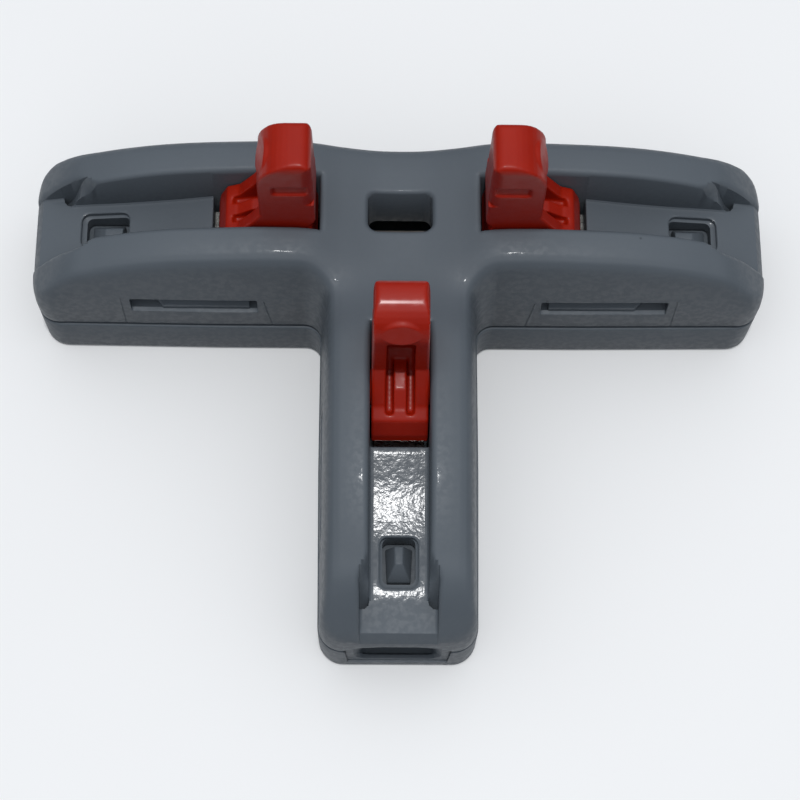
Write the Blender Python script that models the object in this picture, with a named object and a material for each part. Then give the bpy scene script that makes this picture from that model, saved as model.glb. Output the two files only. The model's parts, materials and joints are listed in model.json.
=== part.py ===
"""Three-way lever wire connector: a T of three identical clamping ports.

Each arm of the T ends in a wire port. Behind the port a bent steel clamp spring hangs from the
conductor bar, and a lever above the spring presses it open. The levers turn on short trunnions,
held between notches in the upper shell and posts on the lower shell.

Frame: +X along the bar of the T, +Y towards the bar's back, +Z up. The origin is on the underside,
at the middle of the outline's box. Lengths below are in millimetres and angles in degrees; the
model itself is in metres. Each port is described in its own frame: u runs inward from the end
face, v runs across the arm, and z is the height above the underside.
"""

import math

import bmesh
import bpy
from mathutils import Matrix, Vector

MM = 0.001

# Outer size
ARM_WIDTH = 11.5
BAR_LENGTH = 53.1
DEPTH = 35.7
PLAN_CORNER = 1.8
END_TAPER = 0.15
PART_LINE = 4.4
SEAM = 0.3
BOTTOM_ROUNDING = 0.35

# Upper shell: the crown is the height of the ridges, from the end face (u = 0) to the T's centre
CROWN = ((0.0, 7.4), (0.75, 8.6), (1.6, 9.7), (3.2, 11.3), (5.0, 12.15), (9.0, 13.45), (14.0, 14.1),
         (20.0, 14.25), (22.6, 13.3), (25.0, 12.6), (30.0, 12.5))
SHOULDER = 9.0
EDGE_STEP = 0.1
WALL_LEAN = 0.4
SHELL_WALL = 1.2
CHAMBER_TOP = 6.6
MODULE_REACH = 26.55

# Channel that the closed lever lies in, and the slot that the lever's hub stands in
CHANNEL_HALF = 2.07
SLOT_HALF = 2.09
MOUTH_HALF = 2.73
MOUTH_LENGTH = 2.1
MOUTH_FLOOR = 8.45
END_EDGE = 7.4
FLOOR_INNER = 10.1
FLOOR_WINDOW = 9.1
SLOT_OUTER = 13.14
SLOT_INNER = 20.9
WINDOW_OUTER = 3.5
WINDOW_INNER = 7.0
WINDOW_HALF = 1.32
POCKET = (2.3, 5.2)
POCKET_FLOOR = 7.6
SIDE_WALL = 1.0

# Snap windows in the side walls, and the hooks of the lower shell in them
SNAP_START = 7.2
SNAP_END = 16.35
SNAP_LOW = 6.7
SNAP_HIGH = 8.5
TAB_INNER = 3.4
TAB_OUTER = 4.25
HOOK_REACH = 5.2

# Probe well in the middle of the T
WELL_X = 4.6
WELL_Y = 2.9
WELL_OFFSET = -0.2
WELL_BOTTOM = 6.6
WELL_WALL = 0.9
WELL_CORNER = 0.65

# Lever and its bearing
PIVOT_U = 17.15
PIVOT_Z = 10.95
HUB_RADIUS = 3.55
NOSE_REACH = 3.57
TRUNNION_RADIUS = 1.2
TRUNNION_REACH = 2.95
RUNNING_CLEARANCE = 0.05
LEVER_HALF = 1.95
LEVER_TOP = 22.3
LEVER_EDGE = 0.35

# Conductor bar and clamp springs
BAR_UNDERSIDE = 4.9
BAR_THICKNESS = 0.8
BAR_HALF = 1.5
BAR_TIP_HALF = 1.05
BAR_TIP = 8.7
STRIP = 0.3
SPRING_HALF = 1.75

# Lower shell
TRAY_FLOOR = 1.0

# Wire port
PORT_LOW = 1.42
PORT_HIGH = 5.7
PORT_HALF = 2.3
PORT_BLOCK_HALF = 3.4
PORT_BLOCK_TOP = 6.75
PORT_BLOCK_END = 7.6
PORT_FACE = 0.3
MOUTH_OPENING_HALF = 3.75

BAR_Y = DEPTH / 2 - ARM_WIDTH / 2
HALF_WIDTH = ARM_WIDTH / 2
ARMS = {
    "left": ((-BAR_LENGTH / 2, BAR_Y), 0.0),
    "right": ((BAR_LENGTH / 2, BAR_Y), math.pi),
    "stem": ((0.0, -DEPTH / 2), math.pi / 2),
}
ARMS_IN_TURN = ("left", "stem", "right")


def clear_scene():
    for item in list(bpy.data.objects):
        bpy.data.objects.remove(item, do_unlink=True)


def new_collection(name):
    group = bpy.data.collections.new(name)
    bpy.context.scene.collection.children.link(group)
    return group


def arm_frame(arm):
    """The matrix from an arm's own frame (u, v, z) to the part's frame, in metres."""
    (x, y), angle = ARMS[arm]
    return Matrix.Translation((x * MM, y * MM, 0)) @ Matrix.Rotation(angle, 4, "Z")


# Outlines -------------------------------------------------------------------------------------


def arc(centre, radius, start, end, steps):
    """Points on an arc, from the start angle to the end angle in degrees."""
    points = []
    for i in range(steps + 1):
        angle = math.radians(start + (end - start) * i / steps)
        points.append((centre[0] + radius * math.cos(angle), centre[1] + radius * math.sin(angle)))
    return points


def rounded(corners, steps=4):
    """An outline through corners given as (x, y, radius), each one filleted by its radius."""
    points = []
    for i, (x, y, radius) in enumerate(corners):
        here = Vector((x, y))
        before = Vector(corners[i - 1][:2])
        after = Vector(corners[(i + 1) % len(corners)][:2])
        if radius == 0:
            points.append((x, y))
            continue
        back = (before - here).normalized()
        on = (after - here).normalized()
        half = back.angle(on) / 2
        reach = radius / math.tan(half)
        centre = here + (back + on).normalized() * (radius / math.sin(half))
        first = here + back * reach - centre
        last = here + on * reach - centre
        turn = first.angle_signed(last)
        for k in range(steps + 1):
            point = centre + Matrix.Rotation(-turn * k / steps, 2) @ first
            points.append((point.x, point.y))
    return points


def crown(u):
    """Height of the ridges at a distance from the end face, on a smooth curve through CROWN."""
    last = len(CROWN) - 1
    for i in range(last):
        if u <= CROWN[i + 1][0] or i == last - 1:
            break
    (x0, z0), (x1, z1) = CROWN[i], CROWN[i + 1]
    before = CROWN[max(i - 1, 0)]
    after = CROWN[min(i + 2, last)]
    slope0 = (z1 - before[1]) / (x1 - before[0])
    slope1 = (after[1] - z0) / (after[0] - x0)
    t = min(max((u - x0) / (x1 - x0), 0), 1)
    span = x1 - x0
    return (
        (2 * t**3 - 3 * t**2 + 1) * z0
        + (t**3 - 2 * t**2 + t) * span * slope0
        + (3 * t**2 - 2 * t**3) * z1
        + (t**3 - t**2) * span * slope1
    )


def half_width(u):
    """Half of the arm's width at u: a slight taper, and rounded plan corners at the end face."""
    width = HALF_WIDTH - END_TAPER * max(0.0, 1 - u / SLOT_OUTER)
    if u < PLAN_CORNER:
        width -= PLAN_CORNER - math.sqrt(PLAN_CORNER**2 - (PLAN_CORNER - u) ** 2)
    return width


def t_outline(side, half):
    """The T seen from above. side is one side of each arm, from its end inward: (u, v) points."""
    outline = []
    for arm in ARMS_IN_TURN:
        turn = arm_frame(arm)
        corner = (DEPTH if arm == "stem" else BAR_LENGTH / 2 + HALF_WIDTH) - HALF_WIDTH - half
        first = [(u, v) for u, v in reversed(side)]
        last = [(u, -v) for u, v in side]
        if arm != "left":
            first.insert(0, (corner, half))
        if arm == "left":
            last.append((corner, -half))
        for u, v in first + last:
            point = turn @ Vector((u * MM, v * MM, 0)) / MM
            outline.append((point.x, point.y))
    return outline


def floor_outline():
    """The channel's floor seen from the side, from the end face to the slot: (u, z) points."""
    roll = MOUTH_FLOOR - END_EDGE
    lip = 0.5
    points = [(-1.0, END_EDGE)]
    points += arc((roll, END_EDGE), roll, 180, 90, 4)
    points.append((WINDOW_OUTER, MOUTH_FLOOR))
    points.append((WINDOW_INNER, FLOOR_WINDOW))
    points += arc((SLOT_OUTER - lip, FLOOR_INNER - lip), lip, 95, 0, 3)
    return points


def strip_outline(path, thickness):
    """The closed outline of a bent strip whose middle line is the path."""
    left, right = [], []
    for i, (x, y) in enumerate(path):
        before = Vector(path[max(i - 1, 0)])
        after = Vector(path[min(i + 1, len(path) - 1)])
        along = (after - before).normalized()
        side = Vector((-along.y, along.x)) * thickness / 2
        left.append((x + side.x, y + side.y))
        right.append((x - side.x, y - side.y))
    return left + right[::-1]


# Solids ---------------------------------------------------------------------------------------


def solid_from_mesh(name, mesh, matrix=None):
    item = bpy.data.objects.new(name, mesh)
    PARTS.objects.link(item)
    if matrix is not None:
        mesh.transform(matrix)
    return item


def prism(name, outline, low, high, across, edge=0.0, matrix=None):
    """A flat outline drawn out along an axis, as a filled 2D curve turned into a mesh.

    across is the axis it is drawn along: the outline's points are then (x, y) for Z, (x, z) for Y
    and (y, z) for X. edge rounds the rims of both flat faces.
    """
    curve = bpy.data.curves.new(name, "CURVE")
    curve.dimensions = "2D"
    curve.fill_mode = "BOTH"
    curve.extrude = (high - low) / 2 * MM
    spline = curve.splines.new("POLY")
    spline.points.add(len(outline) - 1)
    for point, (x, y) in zip(spline.points, outline, strict=True):
        point.co = (x * MM, y * MM, 0, 1)
    spline.use_cyclic_u = True
    drawn = bpy.data.objects.new(name, curve)
    PARTS.objects.link(drawn)
    bpy.context.view_layer.update()
    graph = bpy.context.evaluated_depsgraph_get()
    mesh = bpy.data.meshes.new_from_object(drawn.evaluated_get(graph))
    bpy.data.objects.remove(drawn, do_unlink=True)
    bpy.data.curves.remove(curve)
    turns = {
        "Z": Matrix.Identity(4),
        "Y": Matrix(((1, 0, 0, 0), (0, 0, -1, 0), (0, 1, 0, 0), (0, 0, 0, 1))),
        "X": Matrix(((0, 0, 1, 0), (1, 0, 0, 0), (0, 1, 0, 0), (0, 0, 0, 1))),
    }
    middle = Vector([(low + high) / 2 * MM if axis == across else 0 for axis in "XYZ"])
    mesh.transform(Matrix.Translation(middle) @ turns[across])
    if matrix is not None:
        mesh.transform(matrix)
    tidy_mesh(mesh, edge)
    return solid_from_mesh(name, mesh)


def tidy_mesh(mesh, edge):
    """Weld the caps, turn every face outward, and round the caps' rims if edge says so."""
    work = bmesh.new()
    work.from_mesh(mesh)
    bmesh.ops.remove_doubles(work, verts=work.verts, dist=0.00001)
    face_outward(work)
    if edge:
        bmesh.ops.dissolve_limit(work, angle_limit=0.001, verts=work.verts, edges=work.edges)
        round_rims(work, [face for face in work.faces if len(face.verts) > 4], edge)
    work.to_mesh(mesh)
    work.free()


def face_outward(work):
    """Turn every face of a closed mesh outward."""
    bmesh.ops.recalc_face_normals(work, faces=work.faces)
    if work.calc_volume(signed=True) < 0:
        bmesh.ops.reverse_faces(work, faces=work.faces)


def round_rims(work, caps, edge):
    """Bevel every edge around the given flat faces."""
    rims = {rim for cap in caps for rim in cap.edges}
    bmesh.ops.bevel(work, geom=list(rims), offset=edge * MM, segments=2, profile=0.5, affect="EDGES")


def box(name, low, high, matrix=None):
    """A box between two corners."""
    mesh = bpy.data.meshes.new(name)
    work = bmesh.new()
    bmesh.ops.create_cube(work, size=1)
    size = Vector(high) - Vector(low)
    middle = (Vector(high) + Vector(low)) / 2
    work.transform(Matrix.Translation(middle * MM) @ Matrix.Diagonal((*(size * MM), 1)))
    work.to_mesh(mesh)
    work.free()
    return solid_from_mesh(name, mesh, matrix)


def rod(name, centre, radius, half_length, matrix=None, sides=24):
    """A cylinder along v, at centre (u, z)."""
    mesh = bpy.data.meshes.new(name)
    work = bmesh.new()
    bmesh.ops.create_cone(
        work,
        cap_ends=True,
        segments=sides,
        radius1=radius * MM,
        radius2=radius * MM,
        depth=2 * half_length * MM,
        matrix=Matrix.Translation((centre[0] * MM, 0, centre[1] * MM)) @ Matrix.Rotation(math.pi / 2, 4, "X"),
    )
    work.to_mesh(mesh)
    work.free()
    return solid_from_mesh(name, mesh, matrix)


def loft(name, rings, matrix=None):
    """A closed solid through rings of points, which all have the same count."""
    mesh = bpy.data.meshes.new(name)
    work = bmesh.new()
    rows = [[work.verts.new(Vector(point) * MM) for point in ring] for ring in rings]
    count = len(rows[0])
    for row, following in zip(rows, rows[1:]):
        for k in range(count):
            work.faces.new((row[k], row[(k + 1) % count], following[(k + 1) % count], following[k]))
    work.faces.new(rows[0])
    work.faces.new(rows[-1])
    face_outward(work)
    work.to_mesh(mesh)
    work.free()
    return solid_from_mesh(name, mesh, matrix)


def combine(target, other, operation):
    """Apply one exact Boolean to the target and remove the other solid."""
    step = target.modifiers.new("step", "BOOLEAN")
    step.operation = operation
    step.solver = "EXACT"
    step.object = other
    bpy.context.view_layer.update()
    graph = bpy.context.evaluated_depsgraph_get()
    mesh = bpy.data.meshes.new_from_object(target.evaluated_get(graph))
    target.modifiers.remove(step)
    target.data = mesh
    bpy.data.objects.remove(other, do_unlink=True)


def cut(target, *others):
    for other in others:
        combine(target, other, "DIFFERENCE")


def join(target, *others):
    for other in others:
        combine(target, other, "UNION")


def merged(solids):
    """One solid from several that overlap."""
    first, *others = solids
    join(first, *others)
    return first


def cut_in_every_arm(target, cutter):
    """Cut a copy of a cutter, made in an arm's own frame, from each arm of the target."""
    for arm in ARMS:
        copy = cutter.data.copy()
        cut(target, solid_from_mesh("cutter", copy, arm_frame(arm)))
    bpy.data.objects.remove(cutter, do_unlink=True)


def finish_part(item, name, colour, roughness, metallic=0.0):
    """Name a sub-part, give it its own material and shade its round faces smooth."""
    item.name = name
    item.data.name = name
    material = bpy.data.materials.new(name)
    material.use_nodes = True
    shader = material.node_tree.nodes["Principled BSDF"]
    shader.inputs["Base Color"].default_value = (*colour, 1)
    shader.inputs["Roughness"].default_value = roughness
    shader.inputs["Metallic"].default_value = metallic
    item.data.materials.clear()
    item.data.materials.append(material)
    item.data.shade_smooth()
    item.data.set_sharp_from_angle(angle=math.radians(30))
    return item


# Upper shell ----------------------------------------------------------------------------------


def arm_section(u, sink=0.0):
    """The ring of an arm's outer surface at u: leaning wall, steep shoulder, rolled ridge."""
    top = crown(u) - sink
    wide = half_width(u)
    low = PART_LINE + SEAM / 2
    shoulder = min(SHOULDER, top - 1.7)
    half = [
        (wide - EDGE_STEP, low),
        (wide - WALL_LEAN, shoulder),
        (wide - WALL_LEAN - 0.1, shoulder + 0.35 * (top - shoulder)),
        (wide - 0.8, top - 0.85),
        (wide - 1.15, top - 0.35),
        (wide - 1.7, top - 0.05),
        (CHANNEL_HALF + 0.3, top),
    ]
    return [(u, v, z) for v, z in half] + [(u, -v, z) for v, z in reversed(half)]


def shell_blank():
    """The T's solid outer shape above the parting line: the bar, and the stem run into it."""
    stations = [0.0, 0.25, 0.7, 1.3, 1.8, 3.2, 5.0, 7.0, 9.0, 11.5, 14.0, 17.0, 20.0, 21.3, 22.6, 23.8, 25.0]
    half_bar = [arm_section(u) for u in [*stations, MODULE_REACH]]
    other_half = [[(BAR_LENGTH - u, v, z) for u, v, z in ring] for ring in half_bar[-2::-1]]
    bar = loft("bar", half_bar + other_half, arm_frame("left"))
    stem_rings = [arm_section(u) for u in stations]
    stem_rings += [arm_section(u, sink=0.5) for u in (MODULE_REACH, DEPTH - HALF_WIDTH)]
    join(bar, loft("stem", stem_rings, arm_frame("stem")))
    return bar


def channel_cutter():
    """What is cut from above: the channel, its wide mouth, the finger pockets and the slot."""
    above = 20.0
    floor = floor_outline()
    lane = [*floor, (SLOT_OUTER, above), (-1.0, above)]
    roll = MOUTH_FLOOR - END_EDGE
    mouth = [(-1.0, END_EDGE), *arc((roll, END_EDGE), roll, 180, 90, 4)]
    mouth += [(MOUTH_LENGTH, MOUTH_FLOOR), (MOUTH_LENGTH, above), (-1.0, above)]
    pocket = rounded(
        [
            (POCKET[0], POCKET_FLOOR, 0),
            (POCKET[1], POCKET_FLOOR + 1.5, 0),
            (POCKET[1], above - 1, 0),
            (POCKET[0] - 0.5, above - 1, 0),
            (POCKET[0] - 0.5, POCKET_FLOOR + 0.6, 0),
        ]
    )
    cutters = [
        prism("lane", lane, -CHANNEL_HALF, CHANNEL_HALF, "Y"),
        prism("mouth", mouth, -MOUTH_HALF, MOUTH_HALF, "Y"),
        box("slot", (SLOT_OUTER, -SLOT_HALF, 5), (SLOT_INNER, SLOT_HALF, above + 1)),
    ]
    for side in (-1, 1):
        low, high = sorted((side * (CHANNEL_HALF - 0.3), side * (MOUTH_HALF - 0.03)))
        cutters.append(prism("pocket", pocket, low, high, "Y"))
    return merged(cutters)


def window_outline():
    middle = (WINDOW_OUTER + WINDOW_INNER) / 2
    half = (WINDOW_INNER - WINDOW_OUTER) / 2
    corner = 0.55
    return rounded(
        [
            (middle - half, -WINDOW_HALF, corner),
            (middle + half, -WINDOW_HALF, corner),
            (middle + half, WINDOW_HALF, corner),
            (middle - half, WINDOW_HALF, corner),
        ],
        steps=3,
    )


def shell_cavity_cutter():
    """What is cut from below: the ridges' hollows, bearings, windows and the port."""
    low = 6.0
    wall = HALF_WIDTH - SHELL_WALL
    ceiling = 1.1
    spring_room = [
        (PORT_BLOCK_END + 0.3, low),
        (SLOT_OUTER + 0.2, low),
        (SLOT_OUTER + 0.2, FLOOR_INNER - ceiling),
        (SLOT_OUTER - 0.5, FLOOR_INNER - ceiling),
        (PORT_BLOCK_END + 0.3, FLOOR_WINDOW - ceiling + 0.15),
    ]
    port_arch = rounded(
        [
            (-MOUTH_OPENING_HALF, 3.0, 0),
            (MOUTH_OPENING_HALF, 3.0, 0),
            (MOUTH_OPENING_HALF, 4.9, 0.4),
            (2.6, 5.75, 1.5),
            (-2.6, 5.75, 1.5),
            (-MOUTH_OPENING_HALF, 4.9, 0.4),
        ]
    )
    room = PORT_BLOCK_HALF + 0.35
    room_end = PORT_BLOCK_END + 0.4
    spring_half = CHANNEL_HALF - 0.05
    notch = TRUNNION_RADIUS + RUNNING_CLEARANCE
    cutters = [
        box("port_room", (SHELL_WALL + 0.1, -room, low - 1), (room_end, room, PORT_BLOCK_TOP + 0.3)),
        prism("port_arch", port_arch, -1.0, SHELL_WALL + 0.5, "X"),
        prism("spring_room", spring_room, -spring_half, spring_half, "Y"),
        prism("window", window_outline(), PORT_BLOCK_TOP - 0.5, 12, "Z"),
        box("waist", (room_end - 0.2, -4.0, low - 0.8), (SLOT_INNER - 0.5, 4.0, low + 0.3)),
        rod("bearing", (PIVOT_U, PIVOT_Z), notch, TRUNNION_REACH + 0.25),
    ]
    inner = CHANNEL_HALF + SIDE_WALL
    for side in (-1, 1):
        hollow_low, hollow_high = sorted((side * inner, side * (wall - 0.05)))
        roof_low, roof_high = sorted((side * (inner + 0.02), side * (wall - 0.35)))
        slit_low, slit_high = sorted((side * (SLOT_HALF - 0.4), side * (inner + 0.1)))
        snap_low, snap_high = sorted((side * (wall - 0.5), side * (HALF_WIDTH + 1)))
        cutters += [
            box("hollow", (room_end - 0.1, hollow_low, low - 0.5), (SLOT_INNER + 1, hollow_high, 9.5)),
            box("hollow_roof", (9.0, roof_low, low + 2), (SLOT_INNER + 0.8, roof_high, 11.6)),
            box("slit", (PIVOT_U - notch, slit_low, low - 0.2), (PIVOT_U + notch, slit_high, PIVOT_Z)),
            box("snap_window", (SNAP_START, snap_low, SNAP_LOW), (SNAP_END, snap_high, SNAP_HIGH)),
        ]
    return merged(cutters)


def well_outline(grow):
    x = WELL_X / 2 + grow
    y = WELL_Y / 2 + grow
    middle = BAR_Y + WELL_OFFSET
    corner = WELL_CORNER + grow
    return rounded(
        [(-x, middle - y, corner), (x, middle - y, corner), (x, middle + y, corner), (-x, middle + y, corner)],
        steps=3,
    )


def make_upper_housing():
    """The grey top shell, open below: ridged arms, lever channels, slots, windows and the well."""
    shell = shell_blank()
    cut_in_every_arm(shell, channel_cutter())
    wall = HALF_WIDTH - SHELL_WALL
    cut(shell, prism("chamber", t_outline([(SHELL_WALL, wall)], wall), 3.0, CHAMBER_TOP, "Z"))
    cut_in_every_arm(shell, shell_cavity_cutter())
    reach = BAR_LENGTH / 2 - SLOT_INNER - SIDE_WALL
    hollow = box("middle", (-reach, BAR_Y - 4.2, 3), (reach, BAR_Y + 4.2, 11.0))
    tube = prism("tube", well_outline(WELL_WALL), WELL_BOTTOM, 14, "Z")
    cut(hollow, tube)
    cut(shell, hollow)
    cut(shell, prism("well", well_outline(0), WELL_BOTTOM - 2, 16, "Z"))
    return finish_part(shell, "upper_housing", (0.105, 0.125, 0.15), 0.42)


# Lower shell ----------------------------------------------------------------------------------


def tray_blank():
    """The T's outline up to the parting line, with its bottom rim rounded."""
    side = [(u, half_width(u)) for u in (0.0, 0.12, 0.45, 1.0, PLAN_CORNER, SLOT_OUTER)]
    blank = prism("tray", t_outline(side, HALF_WIDTH), 0, PART_LINE - SEAM / 2, "Z")
    work = bmesh.new()
    work.from_mesh(blank.data)
    bmesh.ops.dissolve_limit(work, angle_limit=0.001, verts=work.verts, edges=work.edges)
    undersides = [face for face in work.faces if face.normal.z < -0.99]
    round_rims(work, undersides, BOTTOM_ROUNDING)
    work.to_mesh(blank.data)
    work.free()
    return blank


def port_hole():
    """The wire's way in: a wide arched mouth, a square guide, and a narrow throat behind it."""

    def ring(u, half, low, high, corner):
        corners = [(-half, low, corner), (half, low, corner), (half, high, corner), (-half, high, corner)]
        return [(u, v, z) for v, z in rounded(corners, steps=4)]

    throat_high = BAR_UNDERSIDE - 0.3
    rings = [
        ring(-0.5, 3.25, 0.9, 6.15, 1.4),
        ring(PORT_FACE, 3.1, 1.1, 6.0, 1.4),
        ring(1.4, PORT_HALF, PORT_LOW, PORT_HIGH, 0.3),
        ring(4.6, PORT_HALF, PORT_LOW, PORT_HIGH, 0.3),
        ring(6.2, 1.5, 1.6, throat_high, 0.3),
        ring(PORT_BLOCK_END + 1, 1.5, 1.6, throat_high, 0.3),
    ]
    return loft("port_hole", rings)


def latch_tooth():
    """The hipped tooth on the port block's roof, which catches in the floor window."""
    outer, inner = WINDOW_OUTER + 0.4, WINDOW_INNER - 0.35
    half = 0.95
    ridge_start, ridge_half, ridge_top = outer + 1.35, 0.32, 8.35
    foot = [(outer, -half), (inner, -half), (inner, half), (outer, half)]
    ridge = [(ridge_start, -ridge_half), (inner, -ridge_half), (inner, ridge_half), (ridge_start, ridge_half)]
    rings = [
        [(u, v, PORT_BLOCK_TOP - 0.3) for u, v in foot],
        [(u, v, PORT_BLOCK_TOP + 0.55) for u, v in foot],
        [(u, v, ridge_top) for u, v in ridge],
    ]
    return loft("tooth", rings)


def hook_tab(side):
    """A snap tab inside the side wall, whose hook looks out of the snap window."""
    start, end = SNAP_START + 1.65, SNAP_END - 0.6
    hook_low = SNAP_LOW + 0.3
    outline = [
        (TAB_INNER, TRAY_FLOOR - 0.5),
        (TAB_OUTER, TRAY_FLOOR - 0.5),
        (TAB_OUTER, hook_low),
        (HOOK_REACH, hook_low),
        (HOOK_REACH, hook_low + 0.5),
        (TAB_OUTER, SNAP_HIGH - 0.2),
        (TAB_INNER, SNAP_HIGH - 0.2),
    ]
    return prism("tab", [(side * v, z) for v, z in outline], start, end, "X")


def bearing_post(side):
    """A post under one trunnion, hollowed to the trunnion's round."""
    low, high = sorted((side * 2.3, side * 2.9))
    foot = TRAY_FLOOR - 0.4
    post = box("post", (PIVOT_U - 0.95, low, foot), (PIVOT_U + 0.95, high, PIVOT_Z - 0.6))
    cut(post, rod("cradle", (PIVOT_U, PIVOT_Z), TRUNNION_RADIUS + RUNNING_CLEARANCE, 4))
    return post


def port_fittings():
    """What stands on the tray in each arm: port block, latch tooth, tabs, posts and seats."""
    half = PORT_BLOCK_HALF
    back = SHELL_WALL + 0.4
    foot = TRAY_FLOOR - 0.3
    seat_top = BAR_UNDERSIDE - 0.3
    block = [
        box("block", (back, -half, foot), (PORT_BLOCK_END, half, PORT_BLOCK_TOP)),
        box("lips", (PORT_FACE, -half + 0.02, foot - 0.1), (back + 0.2, half - 0.02, PART_LINE + 0.2)),
        latch_tooth(),
    ]
    fittings = merged(block)
    cut(fittings, port_hole())
    pieces = [fittings]
    for side in (-1, 1):
        pieces.append(hook_tab(side))
        pieces.append(bearing_post(side))
    pieces.append(box("wire_stop", (13.6, -1.4, foot), (14.4, 1.4, seat_top)))
    pieces.append(box("bar_seat", (20.5, -1.45, foot), (21.5, 1.45, seat_top)))
    return pieces


def make_lower_housing():
    """The grey tray: wire ports, snap hooks, lever bearings and the conductor bar's seats."""
    tray = tray_blank()
    wall = HALF_WIDTH - SHELL_WALL
    above = 5.0
    cut(tray, prism("room", t_outline([(SHELL_WALL, wall)], wall), TRAY_FLOOR, above, "Z"))
    face = box("face", (-1, -MOUTH_OPENING_HALF, TRAY_FLOOR), (SHELL_WALL + 0.1, MOUTH_OPENING_HALF, above))
    cut_in_every_arm(tray, face)
    for piece in port_fittings():
        for arm in ARMS:
            join(tray, solid_from_mesh("piece", piece.data.copy(), arm_frame(arm)))
        bpy.data.objects.remove(piece, do_unlink=True)
    return finish_part(tray, "lower_housing", (0.1, 0.12, 0.145), 0.42)


# Levers ---------------------------------------------------------------------------------------


def lever_outline():
    """The open lever seen from the side, about its pivot: x runs inward and y up."""
    top = LEVER_TOP - PIVOT_Z
    leaves_hub = 240
    hub = arc((0, 0), HUB_RADIUS, leaves_hub, 360, 12)
    tangent = math.radians(leaves_hub)
    nose_low = hub[0][1] + (NOSE_REACH + hub[0][0]) / math.tan(tangent)
    body = rounded(
        [
            (3.5, 3.2, 0),
            (3.3, 7.6, 0),
            (3.15, top, 0.75),
            (-0.3, top, 2.6),
            (-0.34, 4.8, 0.4),
            (-1.0, 3.35, 0.4),
            (-3.3, 0.75, 0.4),
            (-NOSE_REACH, -0.4, 0.2),
            (-NOSE_REACH, nose_low, 0.6),
        ],
        steps=4,
    )
    return hub + body


def make_lever(arm):
    """One red lever with its trunnions, hollowed from its outer side, and one web in the hollow."""
    lever = prism("lever", lever_outline(), -LEVER_HALF, LEVER_HALF, "Y", edge=LEVER_EDGE)
    hollow = [(-4.0, 3.6), (-2.35, 1.0), (0.6, 1.9), (1.9, 3.4), (1.9, 8.0), (1.3, 8.7), (-1.5, 8.7)]
    web = [(-4.2, 0.5), (0.5, 0.5), (2.2, 4.0), (0.9, 4.0), (-0.7, 3.0), (-2.2, 1.5), (-4.2, 1.5)]
    pocket = prism("pocket", hollow, -1.05, 1.05, "Y")
    cut(pocket, prism("web", web, -0.45, 0.45, "Y"))
    cut(lever, pocket)
    for side in (-1, 1):
        low, high = sorted((side * (LEVER_HALF - 0.25), side * (LEVER_HALF + 1)))
        cut(lever, box("grip", (0.7, low, 7.5), (3.0, high, 8.6)))
    join(lever, rod("trunnions", (0, 0), TRUNNION_RADIUS, TRUNNION_REACH))
    lever.matrix_world = arm_frame(arm) @ Matrix.Translation((PIVOT_U * MM, 0, PIVOT_Z * MM))
    return finish_part(lever, "lever_" + arm, (0.5, 0.02, 0.012), 0.38)


# Metal ----------------------------------------------------------------------------------------


def make_spring(arm):
    """One clamp spring, pressed open: foot on the bar, loop, upper leg, and the clamping frame."""
    foot = BAR_UNDERSIDE + BAR_THICKNESS + 0.3 + STRIP / 2
    leg = 8.0
    loop = (leg - foot) / 2
    corner = 0.5
    path = [(11.3, foot)]
    path += arc((14.35, foot + loop), loop, -90, 90, 8)
    path += arc((9.6 + corner, leg - corner), corner, 90, 180, 4)
    path.append((9.6, 1.7))
    frame = arm_frame(arm)
    spring = prism("spring", strip_outline(path, STRIP), -SPRING_HALF, SPRING_HALF, "Y", matrix=frame)
    cut(spring, box("window", (9.0, -1.3, 2.2), (10.2, 1.3, 6.9), frame))
    return finish_part(spring, "clamp_spring_" + arm, (0.62, 0.62, 0.6), 0.28, 1.0)


def make_busbar():
    """The flat T of tinned copper: three tongues that reach into the springs' frames."""
    corner = 0.3
    side = [(BAR_TIP, BAR_TIP_HALF - corner), (BAR_TIP + corner, BAR_TIP_HALF), (10.9, BAR_TIP_HALF)]
    side.append((11.4, BAR_HALF))
    bar = prism("bar", t_outline(side, BAR_HALF), BAR_UNDERSIDE, BAR_UNDERSIDE + BAR_THICKNESS, "Z")
    return finish_part(bar, "busbar", (0.72, 0.55, 0.42), 0.3, 1.0)


clear_scene()
PARTS = new_collection("lever_wire_connector")
make_upper_housing()
make_lower_housing()
make_busbar()
for arm_name in ARMS:
    make_spring(arm_name)
    make_lever(arm_name)
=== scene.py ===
"""Looks of the three-way lever wire connector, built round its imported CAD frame.

Shapes are worked out in millimetres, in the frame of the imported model: +X along the bar of the T,
+Y towards the bar's back, +Z up. Each arm also has its own frame: u runs inward from the arm's end
face, v runs across the arm. A shell is two sheets over one grid, an upper and a lower height for
each grid point, joined by walls; openings that look sideways are cut out afterwards.
"""

import json
import math

import bmesh
import bpy
import numpy as np
from mathutils import Matrix, Vector


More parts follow.
